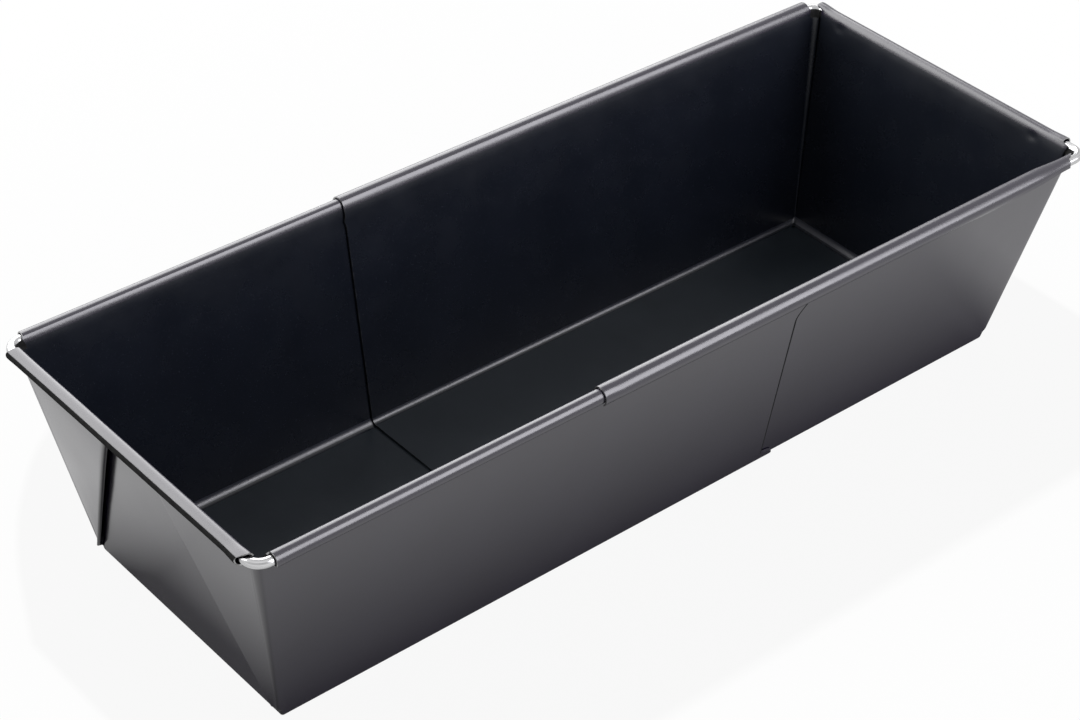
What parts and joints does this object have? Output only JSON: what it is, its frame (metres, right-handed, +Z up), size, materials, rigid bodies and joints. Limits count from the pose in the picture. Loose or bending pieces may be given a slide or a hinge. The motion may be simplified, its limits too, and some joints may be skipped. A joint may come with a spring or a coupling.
{
  "type": "adjustable loaf pan",
  "caption": "Extendable loaf pan in dark coated sheet steel: two folded halves slide in each other to set the length, with wired rolled rims.",
  "frame": {"origin": "centre of the base rectangle of the whole pan, on the surface it stands on, with the length set as in the picture", "axes": "+X along the length towards the inner half, +Y towards the back long side, +Z up"},
  "size_m": [0.3398, 0.1322, 0.0813],
  "materials": {
    "coated_steel": "satin non-stick coating, anthracite, with soft sheen",
    "rim_wire": "bright drawn steel wire"
  },
  "bodies": {
    "outer_half": {"outer_pan_half": "coated_steel", "outer_rim_wire": "rim_wire"},
    "inner_half": {"inner_pan_half": "coated_steel", "inner_rim_wire": "rim_wire"}
  },
  "joints": [
    {"name": "length_slide", "type": "slide", "parent": "outer_half", "child": "inner_half", "axis": [1, 0, 0], "range_m": [-0.095, 0.05]}
  ]
}
